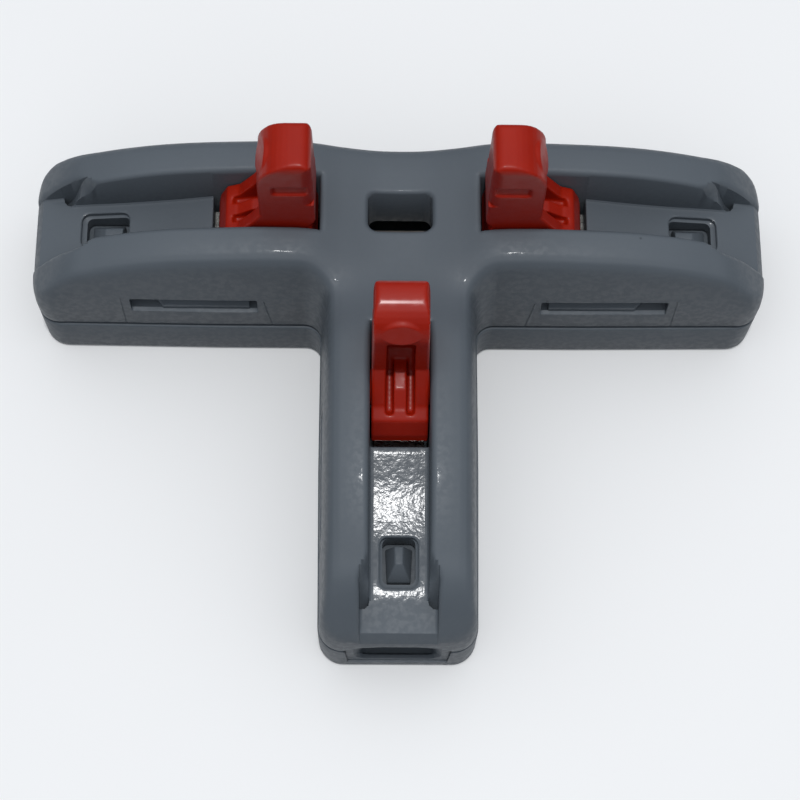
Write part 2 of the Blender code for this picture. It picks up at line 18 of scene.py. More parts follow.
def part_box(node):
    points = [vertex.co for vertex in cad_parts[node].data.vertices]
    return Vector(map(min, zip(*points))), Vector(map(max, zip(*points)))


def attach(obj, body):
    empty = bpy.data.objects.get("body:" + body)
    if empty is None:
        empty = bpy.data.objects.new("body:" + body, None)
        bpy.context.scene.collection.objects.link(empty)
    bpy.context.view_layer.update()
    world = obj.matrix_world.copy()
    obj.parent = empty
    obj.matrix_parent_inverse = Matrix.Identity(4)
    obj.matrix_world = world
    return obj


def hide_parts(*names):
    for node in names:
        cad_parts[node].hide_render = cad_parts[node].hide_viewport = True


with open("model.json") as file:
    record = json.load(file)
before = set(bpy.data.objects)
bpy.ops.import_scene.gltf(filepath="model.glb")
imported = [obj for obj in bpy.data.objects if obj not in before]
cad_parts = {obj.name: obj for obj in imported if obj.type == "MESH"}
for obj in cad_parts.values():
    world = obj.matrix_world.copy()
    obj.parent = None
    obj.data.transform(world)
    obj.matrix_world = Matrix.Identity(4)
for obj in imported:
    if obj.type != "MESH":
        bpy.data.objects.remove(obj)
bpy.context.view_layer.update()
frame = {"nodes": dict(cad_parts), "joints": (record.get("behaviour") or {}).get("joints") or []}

MM = 0.001

# Half the width of the strip of grid cells that a sheer step in height falls in
STEP_HALF = 0.02

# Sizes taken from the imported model
LOW, HIGH = (np.round(np.array(corner) / MM, 3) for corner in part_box("lower_housing"))
BAR_LENGTH = HIGH[0] - LOW[0]
DEPTH = HIGH[1] - LOW[1]
PIVOTS = {joint["child"]: np.round(np.array(joint["pos_m"]) / MM, 3) for joint in frame["joints"]}
PIVOT_Z = PIVOTS["left_lever"][2]
PIVOT_U = BAR_LENGTH / 2 + PIVOTS["left_lever"][0]
BAR_Y = PIVOTS["left_lever"][1]
SEAM_TOP = round(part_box("upper_housing")[0][2] / MM, 3)
SEAM_BOTTOM = SEAM_TOP - 0.3
HALF_WIDTH = DEPTH / 2 - BAR_Y
BAR_FRONT = BAR_Y - HALF_WIDTH
REACH = BAR_LENGTH / 2

# Outline of the T, and the shells' walls
PLAN_CORNER = 1.8
INNER_CORNER = 1.2
END_TAPER = 0.026
SHELL_WALL = 1.2
BOTTOM_ROUNDING = 0.35
SEAM_EDGE = 0.14
EDGE_STEP = 0.1
WALL_LEAN = 0.4

# Ridges and channel of an arm; CROWN, FLOOR and POCKET are (u, height) points
CROWN = [
    (0.0, 7.4), (0.35, 8.1), (0.8, 8.7), (1.6, 9.75), (3.2, 11.3), (5.0, 12.15), (9.0, 13.45),
    (14.0, 14.1), (18.0, 14.25), (20.0, 14.1), (22.6, 13.2), (25.0, 12.6), (27.0, 12.5), (32.0, 12.5),
]
SHOULDER = 9.0
# (distance in from the wall, share of the height between shoulder and crown)
SHOULDER_ROLL = [
    (0.0, 0.0), (0.12, 0.35), (0.24, 0.6), (0.42, 0.78), (0.7, 0.89),
    (1.1, 0.95), (1.7, 0.983), (2.3, 0.997), (2.9, 1.0), (9.0, 1.0),
]
LANE_HALF = 2.07
MOUTH_HALF = 2.73
MOUTH_LENGTH = 2.1
MOUTH_ROLL = 0.45
END_EDGE = 7.37
FLOOR = [(MOUTH_ROLL, 7.9), (2.9, 8.4), (3.5, 8.49), (7.0, 8.9), (10.0, 9.4), (13.2, 10.06)]
FLOOR_LIP = 0.14
FLOOR_COVE = 0.22
SLOT_OUTER = 13.14
SLOT_INNER = 20.9
RIDGE_EDGE = 0.45
POCKET = [(2.1, 7.2), (2.6, 7.9), (3.1, 9.0), (3.6, 9.8), (4.3, 10.3), (4.7, 11.2), (5.3, 12.7)]
POCKET_TILT = 2.4
POCKET_ROUND = 0.6
WINDOW_OUTER = 3.5
WINDOW_INNER = 7.0
WINDOW_HALF = 1.34
WINDOW_CORNER = 0.55
WELL_HALF = (2.3, 1.45)
WELL_OFFSET = -0.2
WELL_CORNER = 0.65
HOLE_RIM = 0.3
WINDOW_RIM = 0.1

# Levers, about their pivots, and the bearings that they turn in
HUB_RADIUS = 3.55
NOSE_REACH = 3.57
LEVER_HALF = 1.95
LEVER_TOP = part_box("lever_left")[1][2] / MM
TRUNNION_RADIUS = 1.2
TRUNNION_HALF = 2.95
BEARING_RADIUS = 1.25
BEARING_ARCH = 1.38
BEARING_HALF = 3.09

# Snap windows, and the hooks in them
SNAP_START = 7.2
SNAP_END = 16.35
SNAP_LOW = 6.65
SNAP_HIGH = 8.5
TAB_INNER = 3.4
TAB_OUTER = 4.25
HOOK_REACH = 5.27
SILL_SLOPE = 0.21
JOINT_LINE_WIDTH = 0.12
JOINT_LINE_DEPTH = 0.045

# Wire ports
TRAY_FLOOR = 1.0
FOOT = TRAY_FLOOR - 0.3  # what stands in the tray reaches into its floor, so that the two join
PORT_GAP_HALF = 3.75
PORT_FACE = 0.15
BLOCK_HALF = 3.4
BLOCK_TOP = 6.75
BLOCK_END = 7.6
BAR_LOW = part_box("busbar")[0][2] / MM
SEAT_TOP = BAR_LOW - 0.3

ARMS = {
    "left": ((-REACH, BAR_Y), 0.0),
    "right": ((REACH, BAR_Y), math.pi),
    "stem": ((0.0, -DEPTH / 2), math.pi / 2),
}

# Materials --------------------------------------------------------------------------------------


def srgb(red, green, blue):
    """A colour of the screen, 0 to 255, as linear light."""
    return [((c / 255 + 0.055) / 1.055) ** 2.4 for c in (red, green, blue)] + [1.0]


class Nodes:
    """Short calls for building one material's node tree."""

    def __init__(self, name):
        self.material = bpy.data.materials.new(name)
        self.material.use_nodes = True
        self.tree = self.material.node_tree
        self.shader = self.tree.nodes["Principled BSDF"]
        self.place = self.add("ShaderNodeTexCoord").outputs["Object"]

    def add(self, kind, **settings):
        node = self.tree.nodes.new(kind)
        for key, value in settings.items():
            setattr(node, key, value)
        return node

    def link(self, source, target):
        self.tree.links.new(source, target)

    def feed(self, name, source):
        """Link a socket to one of the shader's inputs."""
        self.link(source, self.shader.inputs[name])

    def set(self, **values):
        """Fixed values of the shader's inputs."""
        for name, value in values.items():
            self.shader.inputs[name.replace("_", " ")].default_value = value

    def noise(self, size_mm, detail=2.0, roughness=0.5):
        """Noise whose lumps are about size_mm across."""
        node = self.add("ShaderNodeTexNoise")
        node.inputs["Scale"].default_value = 1 / (size_mm * MM)
        node.inputs["Detail"].default_value = detail
        node.inputs["Roughness"].default_value = roughness
        self.link(self.place, node.inputs["Vector"])
        return node.outputs["Fac"]

    def ramp(self, value, *stops):
        node = self.add("ShaderNodeValToRGB")
        ramp = node.color_ramp
        while len(ramp.elements) < len(stops):
            ramp.elements.new(0.5)
        for element, (place, colour) in zip(ramp.elements, stops, strict=True):
            element.position = place
            element.color = colour if hasattr(colour, "__len__") else (colour, colour, colour, 1)
        self.link(value, node.inputs["Fac"])
        return node.outputs["Color"]

    def mix(self, first, second, share):
        """Colour between first and second; each may be a socket or a fixed colour."""
        node = self.add("ShaderNodeMix", data_type="RGBA")
        for value, socket in ((first, node.inputs[6]), (second, node.inputs[7]), (share, node.inputs[0])):
            if isinstance(value, bpy.types.NodeSocket):
                self.link(value, socket)
            else:
                socket.default_value = value
        return node.outputs[2]

    def bump(self, height, distance_mm, strength=1.0, under=None):
        node = self.add("ShaderNodeBump")
        node.inputs["Distance"].default_value = distance_mm * MM
        node.inputs["Strength"].default_value = strength
        self.link(height, node.inputs["Height"])
        if under is not None:
            self.link(under, node.inputs["Normal"])
        return node.outputs["Normal"]


def shaded(colour, share):
    """A colour made lighter or darker by a share."""
    return [c * share for c in colour[:3]] + [1]


def housing_plastic(name, colour):
    """Blue-grey moulded plastic: a fine matt skin, larger flat flecks that glint, a few specks."""
    nodes = Nodes(name)
    nodes.set(Specular_IOR_Level=0.28, Coat_Weight=0.055, Coat_Roughness=0.09)
    cloud = nodes.noise(6.0, 3.0)
    tint = nodes.mix(shaded(colour, 0.92), shaded(colour, 1.08), cloud)
    speck = nodes.add("ShaderNodeTexVoronoi")
    speck.inputs["Scale"].default_value = 1 / (5.0 * MM)
    nodes.link(nodes.place, speck.inputs["Vector"])
    spots = nodes.ramp(speck.outputs["Distance"], (0.0, 0.6), (0.018, 0.6), (0.028, 0.0), (1.0, 0.0))
    nodes.feed("Base Color", nodes.mix(tint, shaded(colour, 0.25), spots))
    flecks = nodes.noise(0.42, 2.2, 0.55)
    nodes.feed("Roughness", nodes.ramp(flecks, (0.42, 0.56), (0.6, 0.44)))
    skin = nodes.bump(nodes.noise(0.13, 2.0, 0.6), 0.012, 0.1)
    pits = nodes.bump(flecks, 0.03, 0.26, under=skin)
    skin = nodes.bump(nodes.noise(2.2, 1.0), 0.03, 0.15, under=pits)
    nodes.feed("Normal", skin)
    nodes.feed("Coat Normal", skin)
    return nodes.material


def lever_plastic(name):
    """Red-orange moulded plastic, glossy and a little translucent."""
    nodes = Nodes(name)
    nodes.set(Specular_IOR_Level=0.22, Subsurface_Weight=0.12, Subsurface_Scale=0.8 * MM, Coat_Weight=0.04)
    nodes.set(Subsurface_Radius=(1.0, 0.25, 0.1), Coat_Roughness=0.12)
    cloud = nodes.noise(3.0, 2.0)
    nodes.feed("Base Color", nodes.mix(srgb(146, 20, 2), srgb(164, 30, 4), cloud))
    nodes.feed("Roughness", nodes.ramp(nodes.noise(0.5, 2.0), (0.3, 0.34), (0.7, 0.46)))
    skin = nodes.bump(nodes.noise(0.22, 2.0), 0.012, 0.4)
    nodes.feed("Normal", nodes.bump(nodes.noise(1.8, 1.0), 0.03, 0.4, under=skin))
    return nodes.material


def rolled_metal(name, dark, light, roughness, grain_mm):
    """Bare strip metal with fine rolling lines along X."""
    nodes = Nodes(name)
    nodes.set(Metallic=1.0)
    stretch = nodes.add("ShaderNodeMapping")
    stretch.inputs["Scale"].default_value = (0.06, 1.0, 1.0)
    nodes.link(nodes.place, stretch.inputs["Vector"])
    lines = nodes.add("ShaderNodeTexNoise")
    lines.inputs["Scale"].default_value = 1 / (grain_mm * MM)
    lines.inputs["Detail"].default_value = 3.0
    nodes.link(stretch.outputs["Vector"], lines.inputs["Vector"])
    grain = lines.outputs["Fac"]
    nodes.feed("Base Color", nodes.mix(dark, light, grain))
    spread = nodes.ramp(grain, (0.3, roughness * 0.8), (0.7, roughness * 1.3))
    nodes.feed("Roughness", spread)
    nodes.feed("Normal", nodes.bump(grain, 0.006, 0.5))
    return nodes.material


BLUE_GREY = srgb(88, 95, 102)
UPPER_PLASTIC = housing_plastic("upper_plastic", BLUE_GREY)
LOWER_PLASTIC = housing_plastic("lower_plastic", BLUE_GREY)
LEVER_PLASTIC = lever_plastic("lever_plastic")
SPRING_STEEL = rolled_metal("spring_steel", (0.26, 0.26, 0.25, 1), (0.42, 0.42, 0.4, 1), 0.3, 0.12)
TINNED_COPPER = rolled_metal("tinned_copper", (0.3, 0.29, 0.28, 1), (0.44, 0.42, 0.4, 1), 0.32, 0.2)

# Curves and blends ------------------------------------------------------------------------------


def curve(points, at):
    """Height of a smooth curve through points, at an array of places."""
    places, heights = np.array(points, float).T
    slopes = np.gradient(heights, places)
    at = np.clip(at, places[0], places[-1])
    i = np.clip(np.searchsorted(places, at, side="right") - 1, 0, len(places) - 2)
    span = places[i + 1] - places[i]
    t = (at - places[i]) / span
    return (
        (2 * t**3 - 3 * t**2 + 1) * heights[i]
        + (t**3 - 2 * t**2 + t) * span * slopes[i]
        + (3 * t**2 - 2 * t**3) * heights[i + 1]
        + (t**3 - t**2) * span * slopes[i + 1]
    )


def ease(value, start, end):
    """0 before start, 1 after end, and a smooth step between them."""
    t = np.clip((value - start) / (end - start), 0, 1)
    return t * t * (3 - 2 * t)


def rolled(distance, radius):
    """How far a rounded edge lies under its flat face, at a distance in from its vertical wall."""
    short = np.clip(radius - distance, 0, radius)
    return radius - np.sqrt(np.maximum(radius**2 - short**2, 0))


def from_rounded_box(x, y, half_x, half_y, corner):
    """Distance outside a rounded rectangle; negative inside it."""
    over_x = np.abs(x) - half_x + corner
    over_y = np.abs(y) - half_y + corner
    outside = np.hypot(np.maximum(over_x, 0), np.maximum(over_y, 0))
    return outside + np.minimum(np.maximum(over_x, over_y), 0) - corner


def steps(*stops):
    """Lines from stop to stop; each stop is (place, number of cells after it)."""
    lines = []
    for (start, count), following in zip(stops, stops[1:]):
        lines += [start + (following[0] - start) * i / count for i in range(count)]
    return [*lines, stops[-1][0]]


def sheer(place, cells_after):
    """Two stops on either side of a sheer step in height, with one cell between them."""
    return (round(place - STEP_HALF, 6), 1), (round(place + STEP_HALF, 6), cells_after)


# The grid over the T ----------------------------------------------------------------------------


def across_lines():
    """Grid lines on one side of an arm's middle, dense where the section turns."""
    return steps(
        (0.0, 4), (1.0, 10), *sheer(LANE_HALF, 6), (2.54, 2), *sheer(MOUTH_HALF, 4),
        *sheer(BEARING_HALF, 2), *sheer(PORT_GAP_HALF, 1), (4.05, 3), (4.45, 1), (4.55, 5),
        (5.1, 4), (5.5, 4), (5.65, 3), (5.75, 0),
    )


def along_lines(end):
    """Grid lines along an arm from its end face inward, up to end."""
    corner = [PLAN_CORNER * (1 - math.cos(math.radians(a))) for a in range(0, 90, 9)]
    lip = [SLOT_OUTER - FLOOR_LIP * (1 - math.sin(math.radians(a))) for a in range(0, 90, 15)]
    rest = steps(
        (PLAN_CORNER, 3), *sheer(MOUTH_LENGTH, 2), (2.28, 1), (2.32, 10), (3.15, 7), (3.65, 10),
        (6.85, 7), (7.35, 16), (12.6, 1), (lip[0], 0),
    )
    slot = steps(
        (SLOT_OUTER, 1), (13.3, 7), *sheer(PIVOT_U - BEARING_RADIUS, 6),
        *sheer(PIVOT_U + BEARING_RADIUS, 7), (SLOT_INNER, 0),
    )
    inner = steps((SLOT_INNER, 5), (21.5, 1), (21.9, 9), (end, 0))
    return sorted({round(line, 5) for line in corner + rest + lip + slot + inner if line <= end + 1e-6})


def t_grid():
    """Plan places of the grid points, and which grid cells lie in the T."""
    side = np.array(across_lines())
    both = np.concatenate([-side[:0:-1], side])
    bar_u = np.array(along_lines(SLOT_INNER - 0.1))
    outer = bar_u[REACH - bar_u > HALF_WIDTH + 0.05]
    xs = np.unique(np.round(np.concatenate([outer - REACH, both, REACH - outer]), 6))
    fillet = [INNER_CORNER * (1 - math.sin(math.radians(a))) for a in range(0, 90, 9)]
    stem_end = DEPTH / 2 + BAR_FRONT
    stem_u = [u for u in along_lines(stem_end) if u < stem_end - INNER_CORNER - 0.1]
    stem_u += [stem_end - f for f in fillet]
    ys = np.unique(np.round(np.concatenate([np.array(stem_u) - DEPTH / 2, BAR_Y + both]), 6))
    x, y = np.meshgrid(xs, ys, indexing="ij")
    middle_x = (x[1:, 1:] + x[:-1, :-1]) / 2
    middle_y = (y[1:, 1:] + y[:-1, :-1]) / 2
    inside = (middle_y > BAR_FRONT) | (np.abs(middle_x) < HALF_WIDTH)
    return x, y, inside


def in_arm(x, y):
    """u and v of each point in the arm that it belongs to."""
    in_bar = y > BAR_FRONT - 0.001
    u = np.where(in_bar, REACH - np.abs(x), y + DEPTH / 2)
    v = np.where(in_bar, y - BAR_Y, x)
    return u, v, in_bar


def to_plan(x, u, v, in_bar):
    """The plan place of changed u and v; x only tells the left arm from the right."""
    return np.where(in_bar, np.sign(x) * (REACH - u), v), np.where(in_bar, v + BAR_Y, u - DEPTH / 2)


def round_plan(x, y):
    """Move the square grid to the T's rounded outline: end corners first, then inner corners."""
    u, v, in_bar = in_arm(x, y)
    short = np.clip(PLAN_CORNER - u, 0, PLAN_CORNER)
    half = HALF_WIDTH - rolled(PLAN_CORNER - short, PLAN_CORNER)
    keep = 3.0  # the middle of the arm, which holds its width
    squeeze = (half - keep) / (HALF_WIDTH - keep)
    v = np.where(np.abs(v) > keep, np.sign(v) * (keep + (np.abs(v) - keep) * squeeze), v)
    x, y = to_plan(x, u, v, in_bar)
    into = np.clip(y - (BAR_FRONT - INNER_CORNER), 0, INNER_CORNER)
    push = INNER_CORNER - np.sqrt(np.maximum(INNER_CORNER**2 - into**2, 0))
    push = push * (1 - ease(y, BAR_FRONT, BAR_FRONT + 3.0))
    share = ease(np.abs(x), 2.8, HALF_WIDTH) * (1 - np.clip((np.abs(x) - HALF_WIDTH) / 5.0, 0, 1))
    return x + np.sign(x) * push * share, y


def end_share(x, y):
    """How much of the side walls' lean is left near an arm's end, where they stand upright."""
    return ease(in_arm(x, y)[0], 0.0, 2.6)


def lean_plan(x, y, amount):
    """Draw the T's long sides in by an amount, which fades out towards the ridges' tops."""
    shift = amount * end_share(x, y) * (1 - ease(from_side(x, y), 0, 2.9))
    turned = np.clip((y - BAR_FRONT + INNER_CORNER) / INNER_CORNER, 0, 1)
    front_share = ease(np.abs(x), 3.5, HALF_WIDTH) * turned
    bar_share = np.where(y < BAR_Y, front_share, 1.0)
    stem_share = np.sqrt(1 - turned**2)
    return x - np.sign(x) * shift * stem_share, y - np.sign(y - BAR_Y) * shift * bar_share


def taper_plan(x, y):
    """Narrow each arm slightly towards its end."""
    u, v, in_bar = in_arm(x, y)
    v = v * (1 - END_TAPER * np.clip(1 - u / SLOT_OUTER, 0, 1))
    return to_plan(x, u, v, in_bar)


# Heights of the upper shell ---------------------------------------------------------------------


def from_side(x, y):
    """Distance in from the T's long sides, rounded at the inner corners."""
    from_bar = np.abs(y - BAR_Y) - HALF_WIDTH
    from_stem = np.where(y < BAR_Y, np.abs(x), 99.0) - HALF_WIDTH
    deep = np.hypot(np.maximum(INNER_CORNER - from_bar, 0), np.maximum(INNER_CORNER - from_stem, 0))
    joined = np.maximum(INNER_CORNER, np.minimum(from_bar, from_stem)) - deep
    short = np.clip(PLAN_CORNER - in_arm(x, y)[0], 0, PLAN_CORNER)
    corner = rolled(PLAN_CORNER - short, PLAN_CORNER)
    return -joined - corner


def crown_height(x, y):
    """Height of the ridges: the bar's crown and the stem's, blended where they meet."""
    bar = curve(CROWN, REACH - np.abs(x))
    stem = curve(CROWN, y + DEPTH / 2)
    share = ease(y, 4.0, 8.5)
    beside = ease(np.abs(x), 3.5, 7.5) * ease(y, 0.0, BAR_FRONT)
    share = share + (1 - share) * beside
    return stem + (bar - stem) * share


def ridge_height(x, y):
    """The outer surface without its channels: flat ridges rolled over to the leaning walls."""
    top = crown_height(x, y)
    inward = from_side(x, y)
    shoulder = np.minimum(SHOULDER, top - 1.7)
    inward = inward - WALL_LEAN * end_share(x, y)
    return shoulder + (top - shoulder) * curve(SHOULDER_ROLL, np.clip(inward, 0, 9))


def floor_height(u, v):
    """The channel's floor, from the rolled end edge to the lip of the slot."""
    floor = curve(FLOOR, u)
    roll = END_EDGE + (FLOOR[0][1] - END_EDGE) * (1 - rolled(u, MOUTH_ROLL) / MOUTH_ROLL)
    floor = np.where(u < MOUTH_ROLL, roll, floor)
    floor = floor - rolled(np.maximum(SLOT_OUTER - u, 0), FLOOR_LIP) * (u > SLOT_OUTER - FLOOR_LIP)
    half = np.where(u < MOUTH_LENGTH, MOUTH_HALF, LANE_HALF)
    has_cove = (u < MOUTH_LENGTH) | (u > MOUTH_LENGTH + POCKET_ROUND)
    return floor + rolled(np.maximum(half - np.abs(v), 0), FLOOR_COVE) * has_cove


def upper_sheet(x, y):
    """Top side of the upper shell."""
    u, v, in_bar = in_arm(x, y)
    wide = np.abs(v)
    height = ridge_height(x, y)
    pocket_end = POCKET[-1][0]
    half = LANE_HALF + (MOUTH_HALF - LANE_HALF) * (1 - ease(u, 3.4, 4.9))
    beyond = np.hypot(np.maximum(wide - half, 0), np.maximum(u - SLOT_INNER, 0))
    on_arm = (u < SLOT_INNER + 1) & ~(in_bar & (np.abs(x) < 0.5))
    height = height - np.where(on_arm, rolled(beyond, RIDGE_EDGE), 0)
    lane = (wide < LANE_HALF) & (u < SLOT_OUTER + 0.01)
    mouth = (wide < MOUTH_HALF) & (u < MOUTH_LENGTH)
    across = np.clip((wide - LANE_HALF) / (MOUTH_HALF - LANE_HALF), 0, 1)
    pocket_start = MOUTH_LENGTH + rolled(across, 1.0) * POCKET_ROUND
    pocket = (wide > LANE_HALF) & (wide < MOUTH_HALF) & (u > pocket_start) & (u < pocket_end)
    scoop = curve(POCKET, u) + POCKET_TILT * ease(u, 2.9, 4.8) * across
    height = np.where(pocket, np.minimum(height, scoop), height)
    step = (wide > LANE_HALF) & (wide < MOUTH_HALF) & (u > MOUTH_LENGTH) & (u <= pocket_start)
    height = np.where(step, np.minimum(height, curve(FLOOR, u)), height)
    height = np.where(lane | mouth, np.minimum(height, floor_height(u, v)), height)
    middle = (WINDOW_OUTER + WINDOW_INNER) / 2
    reach = (WINDOW_INNER - WINDOW_OUTER) / 2
    window = from_rounded_box(u - middle, v, reach, WINDOW_HALF, WINDOW_CORNER)
    height = height - rolled(np.maximum(window, 0), WINDOW_RIM) * (wide < LANE_HALF) * (u < SLOT_OUTER)
    well = from_rounded_box(x, y - BAR_Y - WELL_OFFSET, *WELL_HALF, WELL_CORNER)
    return height - rolled(np.maximum(well, 0), HOLE_RIM)


def lower_sheet(x, y):
    """Underside of the upper shell: its rim, and the hollows above the metal."""
    u, v, in_bar = in_arm(x, y)
    wide = np.abs(v)
    inward = from_side(x, y)
    port_end = 7.9
    hollow_end = 21.7
    under = np.full_like(x, 6.6)
    # hollow ridges, deeper towards the middle of the part
    in_ridge = (wide > BEARING_HALF) & (u < hollow_end)
    under = np.where(in_ridge & (wide < 4.5) & (u > port_end), 9.6, under)
    under = np.where(in_ridge & (wide < 4.1) & (u > 9.5), 11.4, under)
    # the thin floor of the channel, over the clamp spring, and the room over the port block
    ceiling = 8.15 + (u - port_end) * 0.16
    under = np.where((wide < 2.0) & (u > port_end) & (u < SLOT_OUTER), ceiling, under)
    under = np.where((u > SHELL_WALL) & (u < port_end) & (wide < PORT_GAP_HALF), 7.05, under)
    # the upper halves of the lever's bearings
    notch = np.abs(u - PIVOT_U) < BEARING_RADIUS
    arch = PIVOT_Z + np.sqrt(np.maximum(BEARING_ARCH**2 - (u - PIVOT_U) ** 2, 0))
    under = np.where((wide > 2.0) & (wide < BEARING_HALF) & notch, arch, under)
    # the hollow in the middle, and the test well's tube in it
    middle = in_bar & (np.abs(x) < 4.6) & (wide < 4.2)
    under = np.where(middle, 11.0, under)
    tube = from_rounded_box(x, y - BAR_Y - WELL_OFFSET, WELL_HALF[0] + 0.9, WELL_HALF[1] + 0.9, 1.4)
    under = np.where(tube < 0, 7.9, under)
    rim = (inward < SHELL_WALL) | (u < SHELL_WALL)
    return np.where(rim, SEAM_TOP + rolled(np.minimum(inward, u), SEAM_EDGE), under)


def tray_sheets(x, y):
    """Upper and lower side of the tray: its rim, its floor and its rounded bottom edge."""
    u, v = in_arm(x, y)[:2]
    inward = from_side(x, y)
    edge = np.minimum(inward, u)
    rim = (inward < SHELL_WALL) | (u < SHELL_WALL)
    mouth = (u < SHELL_WALL) & (np.abs(v) < PORT_GAP_HALF)
    top = np.where(rim & ~mouth, SEAM_BOTTOM - rolled(edge, SEAM_EDGE), TRAY_FLOOR)
    return top, rolled(edge, BOTTOM_ROUNDING)


# Meshes -----------------------------------------------------------------------------------------


def new_object(name, mesh, material=None):
    item = bpy.data.objects.new(name, mesh)
    bpy.context.scene.collection.objects.link(item)
    if material is not None:
        mesh.materials.append(material)
    return item


def smooth(item, angle=32):
    """Smooth shading, kept sharp across edges that turn by more than the angle."""
    item.data.shade_smooth()
    item.data.set_sharp_from_angle(angle=math.radians(angle))
    return item


def shell_from_sheets(name, top, bottom, inside):
    """A closed mesh: a top and a bottom sheet (x, y, z) over the inside cells, joined by walls."""
    work = bmesh.new()
    upper, lower = {}, {}

    def corner(sheet, places, point):
        if point not in sheet:
            sheet[point] = work.verts.new([place[point] for place in places])
        return sheet[point]

    padded = np.pad(inside, 1)
    for i, k in zip(*(index.tolist() for index in np.nonzero(inside))):
        ring = [(i, k), (i + 1, k), (i + 1, k + 1), (i, k + 1)]
        high = [corner(upper, top, p) for p in ring]
        low = [corner(lower, bottom, p) for p in ring]
        work.faces.new(high)
        work.faces.new(low[::-1])
        neighbours = (padded[i + 1, k], padded[i + 2, k + 1], padded[i + 1, k + 2], padded[i, k + 1])
        for side, neighbour in enumerate(neighbours):
            if not neighbour:
                after = (side + 1) % 4
                work.faces.new((high[after], high[side], low[side], low[after]))
    return to_object(name, work)


def to_object(name, work):
    """An object, in metres, of a bmesh in millimetres."""
    mesh = bpy.data.meshes.new(name)
    work.transform(Matrix.Scale(MM, 4))
    work.to_mesh(mesh)
    work.free()
    return new_object(name, mesh)


def loft(rings):
    """A closed bmesh through rings of points, which all have the same count."""
    work = bmesh.new()
    rows = [[work.verts.new(point) for point in ring] for ring in rings]
    count = len(rows[0])
    for row, following in zip(rows, rows[1:]):
        for k in range(count):
            after = (k + 1) % count
            work.faces.new((row[k], row[after], following[after], following[k]))
    work.faces.new(rows[0])
    work.faces.new(rows[-1])
    bmesh.ops.recalc_face_normals(work, faces=work.faces)
    if work.calc_volume(signed=True) < 0:
        bmesh.ops.reverse_faces(work, faces=work.faces)
    return work


def drawn(outline, low, high, axis):
    """An outline drawn out along an axis: its points are (v, z) along u, (u, z) along v, (u, v) along z."""
    order = {"u": lambda a, b, c: (c, a, b), "v": lambda a, b, c: (a, c, b), "z": lambda a, b, c: (a, b, c)}
    return loft([[order[axis](a, b, c) for a, b in outline] for c in (low, high)])


def block(low, high):
    """A box between two corners."""
    (x0, y0, z0), (x1, y1, z1) = low, high
    return drawn([(x0, y0), (x1, y0), (x1, y1), (x0, y1)], z0, z1, "z")


def rod(u, z, radius, half, sides=64):
    """A cylinder along v, whose axis is at (u, z)."""
    turns = [2 * math.pi * k / sides for k in range(sides)]
    return drawn([(u + radius * math.cos(t), z + radius * math.sin(t)) for t in turns], -half, half, "v")


def rounded(corners, count=6):
    """An outline through corners given as (x, y, radius), each one filleted by its radius."""
    points = []
    for i, (x, y, radius) in enumerate(corners):
        here = Vector((x, y))
        if radius == 0:
            points.append((x, y))
            continue
        back = (Vector(corners[i - 1][:2]) - here).normalized()
        on = (Vector(corners[(i + 1) % len(corners)][:2]) - here).normalized()
        half = back.angle(on) / 2
        centre = here + (back + on).normalized() * (radius / math.sin(half))
        first = here + back * (radius / math.tan(half)) - centre
        last = here + on * (radius / math.tan(half)) - centre
        turn = first.angle_signed(last)
        for k in range(count + 1):
            point = centre + Matrix.Rotation(-turn * k / count, 2) @ first
            points.append((point.x, point.y))
    return points


def rectangle(x, y, half_x, half_y, corner):
    """The outline of a rounded rectangle round (x, y)."""
    signs = ((-1, -1), (1, -1), (1, 1), (-1, 1))
    return rounded([(x + a * half_x, y + b * half_y, corner) for a, b in signs])


def gathered(name, solids, frames=(Matrix.Identity(4),)):
    """One object that holds every solid once for each frame. The solids are used up."""
    whole = bmesh.new()
    for solid in solids:
        part = bpy.data.meshes.new("part")
        solid.to_mesh(part)
        solid.free()
        for turn in frames:
            copy = part.copy()
            copy.transform(turn)
            whole.from_mesh(copy)
            bpy.data.meshes.remove(copy)
        bpy.data.meshes.remove(part)
    return to_object(name, whole)


def arm_frame(arm):
    """The matrix from an arm's own frame (u, v, z) to the part's frame, in millimetres."""
    (x, y), angle = ARMS[arm]
    return Matrix.Translation((x, y, 0)) @ Matrix.Rotation(angle, 4, "Z")


ARM_FRAMES = [arm_frame(arm) for arm in ARMS]


def applied(item, kind, **settings):
    """Apply one modifier to an object."""
    modifier = item.modifiers.new("step", kind)
    for key, value in settings.items():
        setattr(modifier, key, value)
    bpy.context.view_layer.update()
    graph = bpy.context.evaluated_depsgraph_get()
    mesh = bpy.data.meshes.new_from_object(item.evaluated_get(graph))
    item.modifiers.clear()
    item.data = mesh
    return item


def bevelled(item, width, segments, turn):
    """Round the edges that turn by more than an angle in degrees."""
    settings = {"limit_method": "ANGLE", "angle_limit": math.radians(turn)}
    return applied(item, "BEVEL", width=width * MM, segments=segments, **settings)


def combined(item, other, operation):
    """Apply one exact Boolean to the item, and remove the other object."""
    applied(item, "BOOLEAN", operation=operation, solver="EXACT", object=other)
    bpy.data.objects.remove(other, do_unlink=True)
    return item


# The two shells ---------------------------------------------------------------------------------


def port_arch():
    """The outline of the end face's opening, as (v, z) points."""
    return rounded(
        [
            (-PORT_GAP_HALF, 2.0, 0),
            (PORT_GAP_HALF, 2.0, 0),
            (PORT_GAP_HALF, 4.75, 0.4),
            (2.7, 5.6, 1.2),
            (1.2, 5.95, 2.5),
            (-1.2, 5.95, 2.5),
            (-2.7, 5.6, 1.2),
            (-PORT_GAP_HALF, 4.75, 0.4),
        ]
    )


